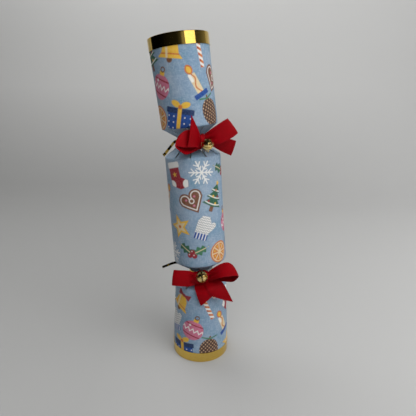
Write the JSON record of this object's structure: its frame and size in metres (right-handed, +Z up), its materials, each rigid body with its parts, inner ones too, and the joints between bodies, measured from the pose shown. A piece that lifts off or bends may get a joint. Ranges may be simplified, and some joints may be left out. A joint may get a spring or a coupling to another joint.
{
  "type": "christmas cracker",
  "caption": "Christmas cracker standing on one end: printed paper tubes drawn in at two necks, ribbon bows, jingle bells and gold foil rims, with a snap and gifts inside.",
  "frame": {"origin": "centre of the lower rim, on the table", "axes": "+Z up along the lower handle, -Y towards the viewer, the cracker leans towards -X"},
  "size_m": [0.0826, 0.066, 0.3064],
  "materials": {
    "printed_paper": "satin printed paper",
    "pressed_paper": "creased paper",
    "white_card": "uncoated card",
    "gold_foil": "mirror gold foil",
    "grey_card": "grey board",
    "kraft_paper": "kraft paper",
    "charge": "dry paste",
    "beech_wood": "waxed wood",
    "tissue_paper": "tissue paper",
    "white_paper": "plain paper",
    "red_ribbon": "satin ribbon",
    "bell_brass": "polished",
    "steel_wire": "drawn wire"
  },
  "bodies": {
    "lower_handle": {"lower_handle_sleeve": "printed_paper", "lower_handle_liner": "white_card", "lower_end_band": "gold_foil", "lower_neck_handle_strips": "printed_paper"},
    "lower_waist": {"lower_waist_collar": "pressed_paper"},
    "barrel": {"barrel_sleeve": "printed_paper", "barrel_liner": "white_card", "lower_neck_barrel_strips": "printed_paper", "upper_neck_barrel_strips": "printed_paper", "snap_lower_strip": "grey_card", "snap_charge": "charge", "snap_sleeve": "kraft_paper", "spinning_top": "beech_wood", "paper_crown": "tissue_paper", "motto_slip": "white_paper"},
    "upper_waist": {"upper_waist_collar": "pressed_paper"},
    "upper_collar": {"upper_neck_handle_strips": "printed_paper"},
    "upper_handle": {"upper_handle_sleeve": "printed_paper", "upper_handle_liner": "white_card", "upper_end_band": "gold_foil", "snap_upper_strip": "grey_card"},
    "lower_bow": {"lower_bow_loops": "red_ribbon", "lower_bow_tails": "red_ribbon", "lower_bow_knot": "red_ribbon", "lower_twist_tie": "gold_foil", "lower_bell_staple": "steel_wire"},
    "lower_bell": {"lower_bell_shank": "bell_brass", "lower_bell_crown": "bell_brass", "lower_bell_bowl": "bell_brass"},
    "lower_pellet": {"lower_bell_pellet": "steel_wire"},
    "upper_bow": {"upper_bow_loops": "red_ribbon", "upper_bow_tails": "red_ribbon", "upper_bow_knot": "red_ribbon", "upper_twist_tie": "gold_foil", "upper_bell_staple": "steel_wire"},
    "upper_bell": {"upper_bell_shank": "bell_brass", "upper_bell_crown": "bell_brass", "upper_bell_bowl": "bell_brass"},
    "upper_pellet": {"upper_bell_pellet": "steel_wire"}
  },
  "joints": [
    {"name": "lower_neck_nod", "type": "hinge", "parent": "lower_handle", "child": "lower_waist", "pos_m": [0, 0, 0.088], "axis": [1, 0, 0], "range_deg": [-8, 1], "deforming": ["lower_neck_handle_strips", "snap_lower_strip"]},
    {"name": "lower_neck_bend", "type": "hinge", "parent": "lower_waist", "child": "barrel", "pos_m": [0, 0, 0.088], "axis": [0, 1, 0], "range_deg": [-8, 5], "deforming": ["lower_neck_barrel_strips"]},
    {"name": "upper_neck_nod", "type": "hinge", "parent": "barrel", "child": "upper_waist", "pos_m": [-0.00928, 0, 0.21566], "axis": [0.9974, 0, 0.0725], "range_deg": [-8, 4], "deforming": ["upper_neck_barrel_strips", "snap_upper_strip"]},
    {"name": "upper_neck_bend", "type": "hinge", "parent": "upper_waist", "child": "upper_collar", "pos_m": [-0.00928, 0, 0.21566], "axis": [0, 1, 0], "range_deg": [-8, 4], "deforming": ["upper_neck_handle_strips"]},
    {"name": "upper_handle_pull", "type": "slide", "parent": "upper_collar", "child": "upper_handle", "axis": [-0.1323, 0, 0.9912], "range_m": [0, 0.04]},
    {"name": "lower_bow_swivel", "type": "hinge", "parent": "lower_waist", "child": "lower_bow", "pos_m": [0, 0, 0.088], "axis": [0, 0, 1], "range_deg": [-15, 45]},
    {"name": "upper_bow_swivel", "type": "hinge", "parent": "upper_waist", "child": "upper_bow", "pos_m": [-0.00928, 0, 0.21566], "axis": [-0.0725, 0, 0.9974], "range_deg": [-15, 60]},
    {"name": "lower_bell_swing", "type": "hinge", "parent": "lower_bow", "child": "lower_bell", "pos_m": [0.00086, -0.0245, 0.09147], "axis": [0.9912, 0.0519, 0.1219], "range_deg": [-8, 25]},
    {"name": "upper_bell_swing", "type": "hinge", "parent": "upper_bow", "child": "upper_bell", "pos_m": [0.00471, -0.02288, 0.20905], "axis": [0.8542, 0.4441, 0.2706], "range_deg": [-4, 25]},
    {"name": "lower_pellet_rattle", "type": "slide", "parent": "lower_bell", "child": "lower_pellet", "axis": [0, 0, 1], "range_m": [0, 0.005]},
    {"name": "upper_pellet_rattle", "type": "slide", "parent": "upper_bell", "child": "upper_pellet", "axis": [0, 0, 1], "range_m": [0, 0.005]}
  ]
}
